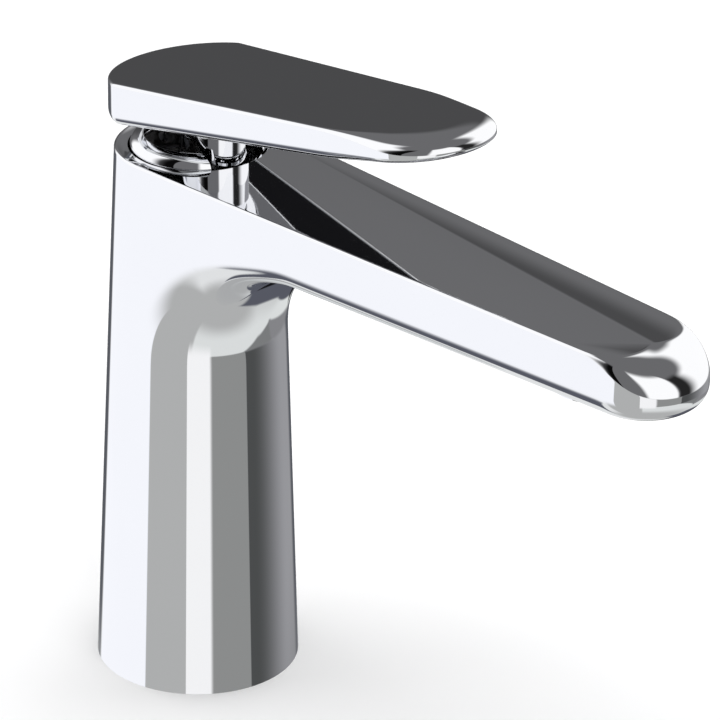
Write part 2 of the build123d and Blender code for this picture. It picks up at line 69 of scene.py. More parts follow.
SPOUT_TIP_X = 148.6 * MM
TIP_GAP = 0.35 * MM                 # between the nose's widest curve and the end of the frame's box
TIP_RADIUS = body_high.x - SPOUT_TIP_X - TIP_GAP
SPOUT_ROOT_DEPTH = 17.2 * MM
SPOUT_TIP_DEPTH = 12.4 * MM
UNDER_ROUND = 5.5 * MM
ELBOW_RADIUS = 31 * MM
ELBOW_NARROWING = radians(2), radians(60)     # turn of the elbow over which the column's plan narrows
ELBOW_SHARPENING = radians(-4), radians(82)   # turn over which its lower edges lose the column's roundness
EDGE_ROUND = 0.7 * MM
NOSE_DROP, NOSE_INSET = 8 * MM, 12.5 * MM     # the nose's top falls this far, over this width
NOSE_ROUND_START, NOSE_ROUND_END = 141 * MM, 164 * MM

DOME_BORE_RADIUS, DOME_BORE_FLOOR = 16.75 * MM, dome_low.z - 1.1 * MM
BORE_EDGE = 0.25 * MM
CARTRIDGE_BORE_RADIUS, CARTRIDGE_SEAT_Z = 12.65 * MM, 92 * MM
NUT_BORE_RADIUS, NUT_SEAT_Z = 14 * MM, 118.2 * MM
GASKET_STEP_RADIUS, GASKET_STEP_Z = 23.6 * MM, 2 * MM
CAVITY_RADIUS, CAVITY_TOP_Z = 20.8 * MM, 58 * MM
OUTLET_RADIUS, OUTLET_TOP_Z = 9.5 * MM, 133.2 * MM
HOSE_SOCKET_RADIUS, HOSE_SOCKET_DEPTH = 5 * MM, 14 * MM
HOSE_X, HOSE_SIDE = -4 * MM, 7 * MM
STUD_SOCKET_RADIUS, STUD_SOCKET_DEPTH = 4 * MM, 16 * MM
STUD_X = 10.5 * MM
BEYOND = 2 * MM                     # how far a cutting tool reaches past what it cuts

LEVER_TIP_X, LEVER_TIP_RADIUS = 77.5 * MM, 16.2 * MM
LEVER_BACK_RADIUS = 21.3 * MM
LEVER_BACK_X, LEVER_BACK_HALF = -7.6 * MM, 19.9 * MM
LEVER_CORNER = 4 * MM
LEVER_TIP_SOFT = 58 * MM, 92 * MM             # where the paddle's edges grow softer towards the tip
LEVER_HEEL_SOFT = 4 * MM, 21 * MM             # and behind the axis, towards the heel
LEVER_EDGE = 0.8 * MM
LEVER_UNDER_EDGE = 2.6 * MM
LEVER_FLAT_STEP = 0.5 * MM                    # from each rounding to the flat face's rim
LEVER_TOP_Z, LEVER_TOP_SLOPE = 155.8 * MM, tan(radians(8.52))
LEVER_UNDER_Z, LEVER_UNDER_SLOPE = 145.3 * MM, tan(radians(11.0))
PIVOT_Z, SPINDLE_LEAN, SPINDLE_SIDE = 122 * MM, radians(12.5), 7 * MM
SOCKET_START, SOCKET_END = 8 * MM, 25 * MM
SOCKET_PLAY = 0.05 * MM
SCREW_X, SCREW_Z = -4 * MM, 142.3 * MM
SCREW_RADIUS, SCREW_LENGTH = 2 * MM, 3.4 * MM
NECK_BACK_X, NECK_FRONT_X = -3 * MM, 14.4 * MM
NECK_HALF, NECK_TOP_Z, NECK_EDGE = 7.2 * MM, 150 * MM, 1.2 * MM

DOME_SKIRT, DOME_SKIRT_INNER = 16.3 * MM, 15 * MM
DOME_RIM_OUTER, DOME_RIM_INNER = 14.7 * MM, 13 * MM
DOME_RIM_Z, DOME_RIM_DROP, DOME_RIM_ROUND = dome_high.z - 0.15 * MM, 0.55 * MM, 0.3 * MM
DOME_SHOULDER_Z = 136.2 * MM
DOME_BULGE = 0.28 * MM
DOME_WALL, DOME_INNER_STEP = 1.1 * MM, 1 * MM
NOTCH_HALF, NOTCH_Z = 8.2 * MM, 135.2 * MM


# ---------------------------------------------------------------- mesh tools

def smoothstep(value, start, end):
    """0 before start, 1 after end, smooth between."""
    t = np.clip((value - start) / (end - start), 0, 1)
    return t * t * t * (t * (6 * t - 15) + 10)


class Skin:
    """The points and faces of one mesh while it is being made."""

    def __init__(self):
        self.points = []
        self.faces = []

    def add(self, points):
        """Adds points of any array shape and returns their indices in that shape."""
        points = np.asarray(points, float)
        first = len(self.points)
        self.points.extend(points.reshape(-1, 3).tolist())
        return np.arange(first, len(self.points)).reshape(points.shape[:-1])

    def quads(self, grid, closed=False):
        """Faces between the neighbouring rows and columns of a grid of indices."""
        grid = np.asarray(grid)
        if closed:
            grid = np.concatenate([grid, grid[:, :1]], axis=1)
        corners = np.stack([grid[:-1, :-1], grid[:-1, 1:], grid[1:, 1:], grid[1:, :-1]], axis=-1)
        self.faces.extend(corners.reshape(-1, 4).tolist())

    def fan(self, pole, ring):
        """Triangles from one point to a row of points."""
        self.faces.extend([int(pole), int(a), int(b)] for a, b in zip(ring[:-1], ring[1:]))

    def cap(self, ring):
        """One flat face on a closed ring."""
        self.faces.append([int(i) for i in ring])

    def make(self, name, crease=35):
        """The finished object, smooth but for edges sharper than the crease angle."""
        mesh = bpy.data.meshes.new(name)
        mesh.from_pydata(self.points, [], self.faces)
        tidy = bmesh.new()
        tidy.from_mesh(mesh)
        bmesh.ops.recalc_face_normals(tidy, faces=tidy.faces)
        tidy.to_mesh(mesh)
        tidy.free()
        thing = bpy.data.objects.new(name, mesh)
        bpy.context.scene.collection.objects.link(thing)
        smooth(thing, crease)
        return thing


def smooth(thing, crease=35):
    """Smooth shading with sharp edges above the crease angle."""
    thing.data.shade_smooth()
    thing.data.set_sharp_from_angle(angle=radians(crease))


def arc(centre, radius, start, end, steps):
    """Points of an arc in a profile's plane, with angles in degrees."""
    angles = np.radians(np.linspace(start, end, steps + 1))
    return [(centre[0] + radius * cos(a), centre[1] + radius * sin(a)) for a in angles]


def revolved(name, profile, centre=(0, 0), segments=160, crease=35):
    """A closed profile of (distance, height) points turned about an upright axis."""
    skin = Skin()
    profile = np.array(profile)
    turn = np.linspace(0, 2 * pi, segments, endpoint=False)
    rings = np.stack(
        [
            centre[0] + profile[:, :1] * np.cos(turn),
            centre[1] + profile[:, :1] * np.sin(turn),
            np.repeat(profile[:, 1:], segments, axis=1),
        ],
        axis=-1,
    )
    grid = skin.add(rings)
    skin.quads(grid, closed=True)
    if profile[0, 0] > 0 and profile[-1, 0] > 0 and not np.allclose(profile[0], profile[-1]):
        skin.cap(grid[0])
        skin.cap(grid[-1])
    return skin.make(name, crease)


def cut(thing, tools, operation="DIFFERENCE"):
    """Cuts the tools out of the thing, or joins them to it, and applies the result."""
    for tool in tools:
        change = thing.modifiers.new("cut", "BOOLEAN")
        change.operation = operation
        change.solver = "EXACT"
        change.object = tool
    graph = bpy.context.evaluated_depsgraph_get()
    finished = bpy.data.meshes.new_from_object(thing.evaluated_get(graph))
    thing.modifiers.clear()
    thing.data = finished
    for tool in tools:
        bpy.data.objects.remove(tool)
    smooth(thing)
    return thing


# ---------------------------------------------------------------- faucet body
# The wall is the zero level of one smooth function: the leaning plan outline of column and spout,
# rounded into the spout's underside, which bends down through a hollow elbow into the column's front.

def column_radius(z):
    """Outside radius of the column at a height."""
    return BASE_RADIUS - z * tan(TAPER)


def plan_distance(x, y, tip_radius):
    """Distance outside the plan outline at the top: two circles joined by their tangents."""
    side = np.abs(y)
    lean = (TOP_RADIUS - tip_radius) / SPOUT_TIP_X
    along = sqrt(1 - lean * lean)
    place = along * x - lean * side
    behind = np.hypot(x, side) - TOP_RADIUS
    ahead = np.hypot(x - SPOUT_TIP_X, side) - tip_radius
    beside = along * side + lean * x - TOP_RADIUS
    return np.where(place < 0, behind, np.where(place > along * SPOUT_TIP_X, ahead, beside))


def plan_normal(x, y):
    """Unit normal of the plan outline at points on or near it."""
    lean = (TOP_RADIUS - TIP_RADIUS) / SPOUT_TIP_X
    along = sqrt(1 - lean * lean)
    place = along * x - lean * np.abs(y)
    side_x, side_y = np.full_like(x, lean), along * np.sign(y)
    ahead = place > along * SPOUT_TIP_X
    nx = np.where(place < 0, x, np.where(ahead, x - SPOUT_TIP_X, side_x))
    ny = np.where((place < 0) | ahead, y, side_y)
    length = np.hypot(nx, ny)
    return nx / length, ny / length


def body_top(x):
    """Height of the flat top."""
    return BODY_TOP + TOP_RISE * x


UNDER_SLOPE = (SPOUT_ROOT_DEPTH - SPOUT_TIP_DEPTH) / body_high.x
UNDER_ANGLE = atan(UNDER_SLOPE)


def under_z(x):
    """Height of the spout's flat underside."""
    return BODY_TOP - SPOUT_ROOT_DEPTH + x * UNDER_SLOPE


def elbow_centre():
    """Centre of the hollow elbow, one radius from the underside and from the column's front."""
    x, z = BASE_RADIUS, 0.0
    for _ in range(20):
        z = under_z(x) - ELBOW_RADIUS / cos(UNDER_ANGLE)
        x = column_radius(z) + ELBOW_RADIUS / cos(TAPER)
    return x, z


ELBOW_X, ELBOW_Z = elbow_centre()


def wall_level(x, y, z):
    """Below zero inside the body, above zero outside."""
    turn = np.arctan2(z - ELBOW_Z, ELBOW_X - x)
    turn = np.where(turn < -RIGHT_ANGLE, turn + 2 * pi, turn)
    turn = np.where((turn > pi) & (x < ELBOW_X), turn - 2 * pi, turn)
    beneath = (under_z(x) - z) * cos(UNDER_ANGLE)
    front = (x - column_radius(z)) * cos(TAPER)
    hollow = ELBOW_RADIUS - np.hypot(x - ELBOW_X, z - ELBOW_Z)
    under = np.where(turn < -TAPER, front, np.where(turn > RIGHT_ANGLE - UNDER_ANGLE, beneath, hollow))
    under = np.where((z < ELBOW_Z) & (x > ELBOW_X), np.maximum(front, beneath), under)

    grown = (body_top(x) - z) * tan(TAPER)
    spread = smoothstep(turn, *ELBOW_NARROWING)
    straight = plan_distance(x, y, TOP_RADIUS) - grown
    narrowing = plan_distance(x, y, TIP_RADIUS) - grown
    side = (straight + (narrowing - straight) * spread) * cos(TAPER)

    bend = smoothstep(turn, *ELBOW_SHARPENING)
    round_ = column_radius(z) * cos(TAPER) * (1 - bend) + UNDER_ROUND * bend
    corner = np.hypot(np.maximum(side + round_, 0), np.maximum(under + round_, 0))
    return np.minimum(np.maximum(side, under), -round_) + corner


LONGEST_RAY = 90 * MM
HALVINGS = 44


def wall_points(origins, directions):
    """Where rays from inside the body meet its wall, by halving."""
    near = np.zeros(origins.shape[:-1])
    far = np.full(origins.shape[:-1], LONGEST_RAY)
    for _ in range(HALVINGS):
        middle = (near + far) / 2
        spot = origins + directions * middle[..., None]
        outside = wall_level(spot[..., 0], spot[..., 1], spot[..., 2]) > 0
        far = np.where(outside, middle, far)
        near = np.where(outside, near, middle)
    return origins + directions * near[..., None]


def top_drop(x):
    """Height of the rounding between the wall and the flat top."""
    return EDGE_ROUND + (NOSE_DROP - EDGE_ROUND) * smoothstep(x, NOSE_ROUND_START, NOSE_ROUND_END)


def top_inset(x):
    """Width of the same rounding, seen from above."""
    return EDGE_ROUND + (NOSE_INSET - EDGE_ROUND) * smoothstep(x, NOSE_ROUND_START, NOSE_ROUND_END)


def wall_top(x):
    """Height at which the wall ends and the rounding to the top begins."""
    return body_top(x) - top_drop(x) * (1 - sin(TAPER))


RIB_STEPS = 160        # round half a rib
BACK_STEPS = 140       # round the column's back
NOSE_STEPS = 64        # round the nose
COLUMN_ROWS, ELBOW_ROWS = 56, 33
ROOT_ROWS, SPOUT_ROWS = 25, 75
EDGE_STEPS = 24


def body_wall(skin):
    """The wall from the base to the top's rounding. Returns the bottom ring and the top ring."""
    low_z = np.concatenate([[0, 0.4 * MM], np.linspace(2 * MM, ELBOW_Z, COLUMN_ROWS)])
    seam_z = ELBOW_Z + (wall_top(0) - ELBOW_Z) * np.linspace(0, 1, ELBOW_ROWS + 1)[1:]
    z_rows = np.concatenate([low_z, seam_z])
    root_x = np.linspace(0, ELBOW_X, ROOT_ROWS + 1)[1:]
    arm_x = np.linspace(ELBOW_X, SPOUT_TIP_X, SPOUT_ROWS + 1)[1:]
    x_rows = np.concatenate([root_x, arm_x])

    swing = np.linspace(0, pi, RIB_STEPS + 1)

    def ribs(origins, heads):
        rays = np.zeros((len(origins), len(swing), 3))
        rays += heads[:, None, :] * np.sin(swing)[None, :, None]
        rays[:, :, 1] -= np.cos(swing)[None, :]
        return wall_points(np.repeat(origins[:, None, :], len(swing), axis=1), rays)

    # column and the fan of ribs over the elbow, whose back half is a level ring
    origins = np.stack([0 * z_rows, 0 * z_rows, z_rows], axis=-1)
    heads = np.stack([ELBOW_X - origins[:, 0], 0 * z_rows, ELBOW_Z - np.maximum(z_rows, ELBOW_Z)], axis=-1)
    heads /= np.linalg.norm(heads, axis=1)[:, None]
    front = ribs(origins, heads)
    back_turn = np.linspace(RIGHT_ANGLE, 3 * RIGHT_ANGLE, BACK_STEPS + 1)[1:-1]
    radius = column_radius(z_rows)[:, None]
    level_z = np.repeat(z_rows[:, None], len(back_turn), axis=1)
    back = np.stack([radius * np.cos(back_turn), radius * np.sin(back_turn), level_z], axis=-1)
    tube = skin.add(np.concatenate([front, back], axis=1))
    skin.quads(tube, closed=True)

    # spout, whose first ribs still lean over the elbow
    origins = np.stack([x_rows, 0 * x_rows, wall_top(x_rows)], axis=-1)
    heads = np.stack([np.maximum(ELBOW_X - x_rows, 0), 0 * x_rows, ELBOW_Z - origins[:, 2]], axis=-1)
    heads /= np.linalg.norm(heads, axis=1)[:, None]
    arm = skin.add(ribs(origins, heads))
    arm = np.concatenate([tube[-1:, : RIB_STEPS + 1], arm])
    skin.quads(arm)

    # nose: upright ribs about the tip's axis, all ending at the point below it
    half = RIB_STEPS // 2
    turns = np.linspace(-RIGHT_ANGLE, RIGHT_ANGLE, NOSE_STEPS + 1)[1:-1]
    outward = np.stack([np.cos(turns), np.sin(turns), 0 * turns], axis=-1)
    dips = swing[:half]
    rays = outward[:, None, :] * np.cos(dips)[None, :, None]
    rays[:, :, 2] -= np.sin(dips)[None, :]
    starts = np.zeros_like(rays)
    starts[:, :, 0] = SPOUT_TIP_X
    starts[:, :, 2] = wall_top(SPOUT_TIP_X + TIP_RADIUS * np.cos(turns))[:, None]
    nose = skin.add(wall_points(starts, rays))
    last = arm[-1]
    nose = np.concatenate([[last[:half]], nose, [last[::-1][:half]]])
    skin.quads(nose)
    skin.fan(last[half], nose[:, -1])

    top = np.concatenate([arm[:, 0], nose[1:-1, 0], arm[::-1, -1], tube[-1, RIB_STEPS + 1:]])
    return tube[0], top


def close_top(skin, ring):
    """The rounding along the top edge, and the flat top."""
    edge = np.array(skin.points)[ring]
    nx, ny = plan_normal(edge[:, 0], edge[:, 1])
    level = np.array([0, 0, 1.0])
    outward = np.stack([nx, ny, 0 * nx], axis=-1)
    across = outward * top_inset(edge[:, 0])[:, None]
    upward = level * top_drop(edge[:, 0])[:, None]
    centre = edge - across * cos(TAPER) - upward * sin(TAPER)
    rings = [ring]
    for angle in np.linspace(TAPER, RIGHT_ANGLE, EDGE_STEPS + 1)[1:]:
        spot = centre + across * cos(angle) + upward * sin(angle)
        spot[:, 2] += TOP_RISE * (spot[:, 0] - edge[:, 0]) * (1 - cos(angle))
        rings.append(skin.add(spot))
    flat = centre - outward * 0.4 * MM
    flat[:, 2] = body_top(flat[:, 0])
    rings.append(skin.add(flat))
    skin.quads(np.array(rings), closed=True)
    skin.cap(rings[-1])


def upright_tool(centre, steps):
    """A round cutting tool, from (radius, height) steps."""
    axis = 0.01 * MM    # the caps close on a tiny ring instead of a point
    return revolved("tool", [(axis, steps[0][1])] + steps + [(axis, steps[-1][1])], centre, 128)


def straight_tool(outline, origin, first, second, length):
    """A cutting tool of one outline, drawn along two directions and pushed along the third."""
    outline, first, second = (np.array(given, float) for given in (outline, first, second))
    near = np.array(origin, float) + outline[:, :1] * first + outline[:, 1:] * second
    skin = Skin()
    grid = skin.add([near, near + np.cross(first, second) * length])
    skin.quads(grid, closed=True)
    skin.cap(grid[0])
    skin.cap(grid[1])
    return skin.make("tool")


def body_tools():
    """The tools that cut the cartridge's seat, the cavity, the outlet and the threaded sockets."""
    edge_turns = np.radians([30, 60, 90])
    bore = [
        (CARTRIDGE_BORE_RADIUS, CARTRIDGE_SEAT_Z),
        (CARTRIDGE_BORE_RADIUS, NUT_SEAT_Z),
        (NUT_BORE_RADIUS, NUT_SEAT_Z),
        (NUT_BORE_RADIUS, DOME_BORE_FLOOR),
        (DOME_BORE_RADIUS, DOME_BORE_FLOOR),
        (DOME_BORE_RADIUS, BODY_TOP - BORE_EDGE),
    ]
    for turn in edge_turns:
        out, up = BORE_EDGE * (1 - cos(turn)), BORE_EDGE * (1 - sin(turn))
        bore.append((DOME_BORE_RADIUS + out, BODY_TOP - up))
    bore.append((DOME_BORE_RADIUS + BORE_EDGE, BODY_TOP + BEYOND))
    cavity = [
        (GASKET_STEP_RADIUS, -BEYOND),
        (GASKET_STEP_RADIUS, GASKET_STEP_Z),
        (CAVITY_RADIUS - GASKET_STEP_Z * tan(TAPER), GASKET_STEP_Z),
        (CAVITY_RADIUS - CAVITY_TOP_Z * tan(TAPER), CAVITY_TOP_Z),
    ]
    outlet = [(OUTLET_RADIUS, aerator_low.z - 10 * BEYOND), (OUTLET_RADIUS, OUTLET_TOP_Z)]
    outlet_x = aerator_low.x + (aerator_high.x - aerator_low.x) / 2
    sockets = [
        (HOSE_X, HOSE_SIDE, HOSE_SOCKET_RADIUS, HOSE_SOCKET_DEPTH),
        (HOSE_X, -HOSE_SIDE, HOSE_SOCKET_RADIUS, HOSE_SOCKET_DEPTH),
        (STUD_X, 0, STUD_SOCKET_RADIUS, STUD_SOCKET_DEPTH),
    ]
    tools = [upright_tool((0, 0), bore), upright_tool((0, 0), cavity), upright_tool((outlet_x, 0), outlet)]
    for x, y, radius, depth in sockets:
        steps = [(radius, CAVITY_TOP_Z - BEYOND), (radius, CAVITY_TOP_Z + depth)]
        tools.append(upright_tool((x, y), steps))
    return tools


def make_body():
    """Column and spout in one casting, with its bores."""
    skin = Skin()
    bottom, top = body_wall(skin)
    close_top(skin, top)
    skin.cap(bottom)
    body = skin.make("column_and_spout")
    cut(body, body_tools())
    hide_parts("faucet_body")
    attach(body, "faucet")
    return body


# ---------------------------------------------------------------- lever

def lever_outline():
    """Plan of the paddle as (centre x, centre y, radius, angle) per point, counter-clockwise from the tip."""
    lean = atan((LEVER_BACK_HALF - LEVER_TIP_RADIUS) / (LEVER_TIP_X - LEVER_BACK_X))
    normal = np.array([sin(lean), cos(lean)])
    along = np.array([cos(lean), -sin(lean)])
    reach = LEVER_TIP_X * normal[0] + LEVER_TIP_RADIUS
    back = -sqrt((LEVER_BACK_RADIUS - LEVER_CORNER) ** 2 - (reach - LEVER_CORNER) ** 2)
    corner = normal * (reach - LEVER_CORNER) + along * back
    side_angle = RIGHT_ANGLE - lean
    corner_angle = atan2(corner[1], corner[0])
    rows = []

    def bend(centre, radius, start, end, steps):
        for angle in np.linspace(start, end, steps + 1):
            rows.append((centre[0], centre[1], radius, angle))

    def side(first, second, angle, steps):
        for share in np.linspace(0, 1, steps + 1)[1:-1]:
            x, y, r = (a + (b - a) * share for a, b in zip(first, second))
            rows.append((x, y, r, angle))

    tip = (LEVER_TIP_X, 0, LEVER_TIP_RADIUS)
    upper = (corner[0], corner[1], LEVER_CORNER)
    lower = (corner[0], -corner[1], LEVER_CORNER)
    bend(tip, LEVER_TIP_RADIUS, -side_angle, side_angle, 72)
    side(tip, upper, side_angle, 60)
    bend(upper, LEVER_CORNER, side_angle, corner_angle, 10)
    back_turns = np.linspace(corner_angle, 2 * pi - corner_angle, 73)[1:-1]
    rows.extend((0, 0, LEVER_BACK_RADIUS, angle) for angle in back_turns)
    bend(lower, LEVER_CORNER, -corner_angle, -side_angle, 10)
    side(lower, tip, -side_angle, 60)
    return np.array(rows)


def make_lever():
    """The flat paddle with its soft tip, and the neck that goes down into the dome."""
    skin = Skin()
    cx, cy, radius, angle = lever_outline().T
    nx, ny = np.cos(angle), np.sin(angle)

    def ring(inset, height_of):
        x = cx + (radius - inset) * nx
        y = cy + (radius - inset) * ny
        return skin.add(np.stack([x, y, height_of(x)], axis=-1))

    def top_z(x):
        return LEVER_TOP_Z + LEVER_TOP_SLOPE * x

    def under_z_of(x):
        return LEVER_UNDER_Z + LEVER_UNDER_SLOPE * x

    # both edges are rounded: how far in, and how far down or up, the roundings reach
    outer_x = cx + radius * nx
    tip = smoothstep(outer_x, *LEVER_TIP_SOFT)
    heel = smoothstep(-outer_x, *LEVER_HEEL_SOFT)
    top_in = LEVER_EDGE + 8.2 * MM * tip
    top_down = LEVER_EDGE + 2.6 * MM * tip
    under_in = LEVER_UNDER_EDGE + 9.4 * MM * tip + 1.8 * MM * heel
    thickness = top_z(outer_x) - under_z_of(outer_x)
    under_up = np.minimum(LEVER_UNDER_EDGE + 1.6 * MM * heel, thickness - top_down - 0.3 * MM)

    rings = [ring(top_in + LEVER_FLAT_STEP, top_z)]
    for a in np.linspace(RIGHT_ANGLE, 0, 21):
        rings.append(ring(top_in * (1 - cos(a)), lambda x, a=a: top_z(x) - top_down * (1 - sin(a))))
    for share in (0.35, 0.7):
        def side_z(x, share=share):
            return (top_z(x) - top_down) * (1 - share) + (under_z_of(x) + under_up) * share

        rings.append(ring(0, side_z))
    for a in np.linspace(0, RIGHT_ANGLE, 19):
        rings.append(ring(under_in * (1 - cos(a)), lambda x, a=a: under_z_of(x) + under_up * (1 - sin(a))))
    rings.append(ring(under_in + LEVER_FLAT_STEP, under_z_of))
    skin.quads(np.array(rings), closed=True)
    skin.cap(rings[0])
    skin.cap(rings[-1])
    lever = skin.make("lever_paddle")
    cut(lever, [make_neck()], "UNION")
    cut(lever, neck_tools())
    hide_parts("lever_handle")
    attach(lever, "lever")
    return lever


def neck_tools():
    """The tools that cut the spindle's leaning square socket and the set screw's hole."""
    half = SPINDLE_SIDE / 2 + SOCKET_PLAY
    lean = (cos(SPINDLE_LEAN), 0, -sin(SPINDLE_LEAN))
    foot = (SOCKET_START * sin(SPINDLE_LEAN), 0, PIVOT_Z + SOCKET_START * cos(SPINDLE_LEAN))
    square = [(-half, -half), (half, -half), (half, half), (-half, half)]
    socket = straight_tool(square, foot, lean, (0, 1, 0), SOCKET_END - SOCKET_START)
    circle = arc((0, 0), SCREW_RADIUS, 0, 345, 23)
    screw_hole = straight_tool(circle, (SCREW_X, 0, SCREW_Z), (0, 1, 0), (0, 0, 1), 2 * SCREW_LENGTH)
    return [socket, screw_hole]


def make_neck():
    """The lever's neck: an upright block with round ends and a soft lower edge."""
    bottom_z = lever_low.z
    end_points = 33
    skin = Skin()
    front_turns = np.linspace(-RIGHT_ANGLE, RIGHT_ANGLE, end_points)
    turns = np.concatenate([front_turns, np.linspace(RIGHT_ANGLE, 3 * RIGHT_ANGLE, end_points)])
    centre_x = np.repeat([NECK_FRONT_X - NECK_HALF, NECK_BACK_X + NECK_HALF], end_points)

    def ring(inset, z):
        reach = NECK_HALF - inset
        x = centre_x + reach * np.cos(turns)
        y = reach * np.sin(turns)
        return skin.add(np.stack([x, y, np.full_like(x, z)], axis=-1))

    rings = [ring(NECK_EDGE + 0.4 * MM, bottom_z)]
    for a in np.linspace(RIGHT_ANGLE, 0, 7):
        rings.append(ring(NECK_EDGE * (1 - cos(a)), bottom_z + NECK_EDGE * (1 - sin(a))))
    rings.append(ring(0, NECK_TOP_Z))
    skin.quads(np.array(rings), closed=True)
    skin.cap(rings[0])
    skin.cap(rings[-1])
    return skin.make("neck")


# ---------------------------------------------------------------- dome cap

def make_dome():
    """The polished collar round the lever's neck, open at the front."""
    rise = DOME_RIM_Z - DOME_RIM_DROP - DOME_SHOULDER_Z
    width = DOME_SKIRT - DOME_RIM_OUTER
    profile = [(DOME_SKIRT, dome_low.z)]
    for share in np.linspace(0, 1, 17):
        bulge = DOME_BULGE * sin(pi * share)
        distance = DOME_SKIRT - width * share ** 1.6 + 0.3 * bulge
        profile.append((distance, DOME_SHOULDER_Z + rise * share + bulge))
    lip_centre = (DOME_RIM_INNER + DOME_RIM_ROUND, DOME_RIM_Z - DOME_RIM_ROUND)
    profile += arc(lip_centre, DOME_RIM_ROUND, 72, 180, 8)
    profile += [
        (DOME_RIM_INNER, DOME_RIM_Z - DOME_WALL),
        (DOME_SKIRT_INNER - DOME_RIM_ROUND, DOME_SHOULDER_Z),
        (DOME_SKIRT_INNER, DOME_SHOULDER_Z - DOME_INNER_STEP),
        (DOME_SKIRT_INNER, dome_low.z),
        (DOME_SKIRT, dome_low.z),
    ]
    dome = revolved("dome_collar", profile)
    front = 2 * DOME_SKIRT
    corners = [(0, -NOTCH_HALF), (front, -NOTCH_HALF), (front, NOTCH_HALF), (0, NOTCH_HALF)]
    cut(dome, [straight_tool(corners, (0, 0, NOTCH_Z), (1, 0, 0), (0, 1, 0), DOME_SKIRT)])
    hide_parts("dome_cap")
    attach(dome, "swivel")
    return dome


# ---------------------------------------------------------------- materials

COLOUR_A, COLOUR_B, MIXED_COLOUR = 6, 7, 2    # sockets of a Mix node that mixes colours


class Graph:
    """A node tree with short calls for the nodes used here."""

    def __init__(self, tree):
        self.tree = tree
        tree.nodes.clear()

    def node(self, kind, inputs=(), **settings):
        """Adds a node; inputs is a list of (socket, value or output socket)."""
        made = self.tree.nodes.new(kind)
        for key, value in settings.items():
            setattr(made, key, value)
        for socket, value in inputs:
            if isinstance(value, bpy.types.NodeSocket):
                self.tree.links.new(value, made.inputs[socket])
            else:
                made.inputs[socket].default_value = value
        return made

    def maths(self, operation, *values):
        """A Math node's output."""
        made = self.node("ShaderNodeMath", list(enumerate(values)), operation=operation)
        return made.outputs[0]


def finish_material(name, colour, second, metallic, rough, grain, fleck, relief, coat=0.0):
    """A procedural finish: two colours and two roughnesses mixed by fine noise, with a slight relief."""
    material = bpy.data.materials.new(name)
    material.use_nodes = True
    graph = Graph(material.node_tree)
    place = graph.node("ShaderNodeTexCoord").outputs["Object"]
    cloud = graph.node("ShaderNodeTexNoise", [("Vector", place), ("Scale", fleck), ("Detail", 4.0)])
    fine = graph.node("ShaderNodeTexNoise", [("Vector", place), ("Scale", grain), ("Detail", 3.0)])
    colours = [(0, cloud.outputs["Fac"]), (COLOUR_A, (*colour, 1)), (COLOUR_B, (*second, 1))]
    tone = graph.node("ShaderNodeMix", colours, data_type="RGBA")
    spread = [("From Min", 0.3), ("From Max", 0.7), ("To Min", rough[0]), ("To Max", rough[1])]
    shine = graph.node("ShaderNodeMapRange", [("Value", fine.outputs["Fac"])] + spread)
    bump = graph.node(
        "ShaderNodeBump", [("Height", fine.outputs["Fac"]), ("Strength", relief), ("Distance", 0.0002)]
    )
    shader = graph.node(
        "ShaderNodeBsdfPrincipled",
        [
            ("Base Color", tone.outputs[MIXED_COLOUR]),
            ("Metallic", metallic),
            ("Roughness", shine.outputs["Result"]),
            ("Coat Weight", coat),
            ("Normal", bump.outputs["Normal"]),
        ],
    )
    graph.node("ShaderNodeOutputMaterial", [("Surface", shader.outputs[0])])
    return material


FINISHES = {
    # slot: (name, (colour, second colour, metallic, (smoothest, roughest), grain, fleck, relief, coat))
    "chrome": (
        "polished_chrome", ((0.93, 0.935, 0.95), (0.90, 0.905, 0.925), 1.0, (0.018, 0.035), 900, 30, 0.0)
    ),
    "black_rubber": (
        "black_rubber", ((0.018, 0.018, 0.019), (0.03, 0.03, 0.031), 0.0, (0.55, 0.75), 1500, 300, 0.3)
    ),
    "cartridge_plastic": (
        "cartridge_plastic", ((0.55, 0.56, 0.58), (0.50, 0.51, 0.53), 0.0, (0.32, 0.45), 1200, 120, 0.12)
    ),
    "turret_plastic": (
        "turret_plastic", ((0.030, 0.030, 0.032), (0.024, 0.024, 0.026), 0.0, (0.30, 0.42), 1200, 120, 0.12)
    ),
    "white_ceramic": (
        "white_ceramic", ((0.86, 0.85, 0.82), (0.80, 0.79, 0.76), 0.0, (0.08, 0.16), 1600, 500, 0.04, 0.3)
    ),
    "steel": (
        "drawn_steel", ((0.60, 0.60, 0.61), (0.50, 0.50, 0.52), 1.0, (0.18, 0.34), 1800, 200, 0.15)
    ),
    "brass": (
        "machined_brass", ((0.78, 0.60, 0.30), (0.68, 0.50, 0.24), 1.0, (0.20, 0.34), 1500, 150, 0.15)
    ),
    "dark_brass": (
        "blackened_brass", ((0.035, 0.032, 0.028), (0.022, 0.020, 0.018), 0.6, (0.35, 0.50), 1500, 150, 0.15)
    ),
    "glide_plastic": (
        "glide_plastic", ((0.06, 0.06, 0.065), (0.05, 0.05, 0.054), 0.0, (0.30, 0.40), 1200, 100, 0.08)
    ),
    "aerator_plastic": (
        "aerator_plastic", ((0.62, 0.63, 0.65), (0.56, 0.57, 0.59), 0.0, (0.28, 0.40), 1400, 140, 0.10)
    ),
    "regulator_rubber": (
        "regulator_rubber", ((0.55, 0.22, 0.06), (0.48, 0.18, 0.05), 0.0, (0.45, 0.60), 1500, 200, 0.25)
    ),
}
FLOOR_LOOKS = ((0.94, 0.94, 0.94), (0.93, 0.93, 0.93), 0.0, (0.8, 0.9), 200, 5, 0.0)


def make_materials():
    """One finish for each of the record's material slots."""
    return {slot: finish_material(name, *looks) for slot, (name, looks) in FINISHES.items()}


